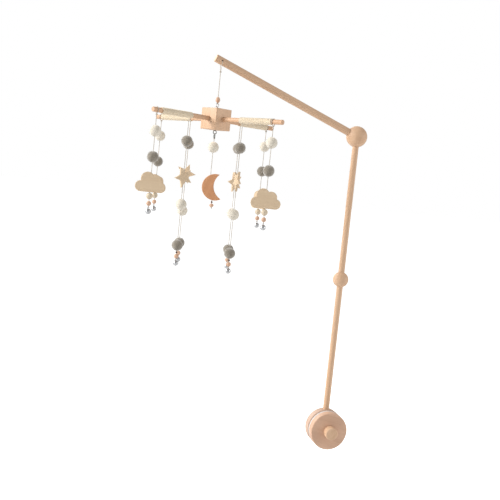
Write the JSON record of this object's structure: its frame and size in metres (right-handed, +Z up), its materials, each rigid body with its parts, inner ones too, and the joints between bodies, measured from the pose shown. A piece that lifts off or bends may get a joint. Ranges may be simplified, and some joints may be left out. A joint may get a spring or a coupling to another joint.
{
  "type": "crib mobile",
  "caption": "Wooden crib mobile on a clamp-on stand: a sloping arm carries a cube hub with cord-wrapped dowels and strings of felt balls, wooden charms and bells.",
  "frame": {"origin": "on the clamp screw's axis, in the face of the fixed pad", "axes": "+Z up along the rods, -Y from the fixed pad towards the moving jaw and its knob, -X towards the side the arm reaches out to at rest"},
  "size_m": [0.4549, 0.2738, 0.7186],
  "materials": {
    "beech": "satin clear oil",
    "pad": "matt, pale",
    "steel": "zinc plated",
    "dark_steel": "darkened",
    "brass": "plain",
    "cotton": "cotton cord, close wound",
    "string": "twisted cotton string",
    "trim": "felt balls, wooden beads and a silver bell",
    "charm": "sanded, bare",
    "walnut": "brown stain",
    "felt": "felted wool",
    "dark_bead": "dark stain"
  },
  "bodies": {
    "stand": {"clamp_block": "beech", "clamp_pad_fixed": "pad", "thread_insert": "brass", "lower_rod": "beech", "rod_stud": "steel", "middle_ball": "beech", "upper_rod": "beech", "swivel_pin": "steel"},
    "jaw": {"clamp_jaw": "beech", "clamp_pad_moving": "pad", "knob_washer": "steel"},
    "screw": {"clamp_knob": "beech", "clamp_screw": "steel", "stop_nut": "steel"},
    "arm_head": {"top_ball": "beech", "arm": "beech"},
    "hanger": {"hanger_cord": "string", "hanger_bead": "beech"},
    "hub": {"hub_cube": "beech", "top_eye": "steel", "bottom_eye": "dark_steel", "dowel_fl": "beech", "dowel_fr": "beech", "dowel_bl": "beech", "dowel_br": "beech", "wrap_fl": "cotton", "wrap_fr": "cotton", "wrap_bl": "cotton", "wrap_br": "cotton"},
    "centre_string": {"centre_clasp": "dark_steel", "centre_cord": "string", "centre_ball": "felt", "moon": "walnut", "centre_dark_bead": "dark_bead", "centre_pale_bead": "beech"},
    "cloud_string_fl": {"cloud_cord_fl": "string", "cloud_trims_fl": "trim", "cloud_fl": "charm"},
    "star_string_fl": {"star_cord_fl": "string", "star_trims_fl": "trim", "star_fl": "charm"},
    "cloud_string_fr": {"cloud_cord_fr": "string", "cloud_trims_fr": "trim", "cloud_fr": "charm"},
    "star_string_fr": {"star_cord_fr": "string", "star_trims_fr": "trim", "star_fr": "charm"},
    "cloud_string_bl": {"cloud_cord_bl": "string", "cloud_trims_bl": "trim", "cloud_bl": "charm"},
    "star_string_bl": {"star_cord_bl": "string", "star_trims_bl": "trim", "star_bl": "charm"},
    "cloud_string_br": {"cloud_cord_br": "string", "cloud_trims_br": "trim", "cloud_br": "charm"},
    "star_string_br": {"star_cord_br": "string", "star_trims_br": "trim", "star_br": "charm"}
  },
  "joints": [
    {"name": "jaw_slide", "type": "slide", "parent": "stand", "child": "jaw", "axis": [0, -1, 0], "range_m": [0, 0.03]},
    {"name": "knob_turn", "type": "hinge", "parent": "jaw", "child": "screw", "pos_m": [0, 0, 0], "axis": [0, 1, 0], "range_deg": [0, 8640]},
    {"name": "arm_swivel", "type": "hinge", "parent": "stand", "child": "arm_head", "pos_m": [0, 0.0108, 0.568], "axis": [0, 0, 1], "continuous": true},
    {"name": "hanger_swing", "type": "hinge", "parent": "arm_head", "child": "hanger", "pos_m": [-0.27751, -0.00861, 0.67201], "axis": [0.0698, -0.9976, 0], "range_deg": [-15, 15]},
    {"name": "hub_spin", "type": "hinge", "parent": "hanger", "child": "hub", "pos_m": [-0.27751, -0.00861, 0.59371], "axis": [0, 0, 1], "continuous": true},
    {"name": "centre_swing", "type": "hinge", "parent": "hub", "child": "centre_string", "pos_m": [-0.27751, -0.00861, 0.54211], "axis": [0.9703, -0.2419, 0], "range_deg": [-20, 20]},
    {"name": "cloud_swing_fl", "type": "hinge", "parent": "hub", "child": "cloud_string_fl", "pos_m": [-0.39358, -0.08689, 0.56871], "axis": [-0.829, -0.5592, 0], "range_deg": [-20, 20]},
    {"name": "star_swing_fl", "type": "hinge", "parent": "hub", "child": "star_string_fl", "pos_m": [-0.33223, -0.04551, 0.56871], "axis": [-0.829, -0.5592, 0], "range_deg": [-20, 20]},
    {"name": "cloud_swing_fr", "type": "hinge", "parent": "hub", "child": "cloud_string_fr", "pos_m": [-0.20062, -0.1226, 0.56871], "axis": [0.5592, -0.829, 0], "range_deg": [-20, 20]},
    {"name": "star_swing_fr", "type": "hinge", "parent": "hub", "child": "star_string_fr", "pos_m": [-0.24061, -0.06332, 0.56871], "axis": [0.5592, -0.829, 0], "range_deg": [-20, 20]},
    {"name": "cloud_swing_bl", "type": "hinge", "parent": "hub", "child": "cloud_string_bl", "pos_m": [-0.35972, 0.11326, 0.56871], "axis": [-0.5592, 0.829, 0], "range_deg": [-20, 20]},
    {"name": "star_swing_bl", "type": "hinge", "parent": "hub", "child": "star_string_bl", "pos_m": [-0.31442, 0.04611, 0.56871], "axis": [-0.5592, 0.829, 0], "range_deg": [-20, 20]},
    {"name": "cloud_swing_br", "type": "hinge", "parent": "hub", "child": "cloud_string_br", "pos_m": [-0.16311, 0.06856, 0.56871], "axis": [0.829, 0.5592, 0], "range_deg": [-20, 20]},
    {"name": "star_swing_br", "type": "hinge", "parent": "hub", "child": "star_string_br", "pos_m": [-0.22363, 0.02774, 0.56871], "axis": [0.829, 0.5592, 0], "range_deg": [-20, 20]}
  ],
  "couplings": [
    {"joint": "knob_turn", "follows": "jaw_slide", "rad_per_m": 5026.5}
  ]
}
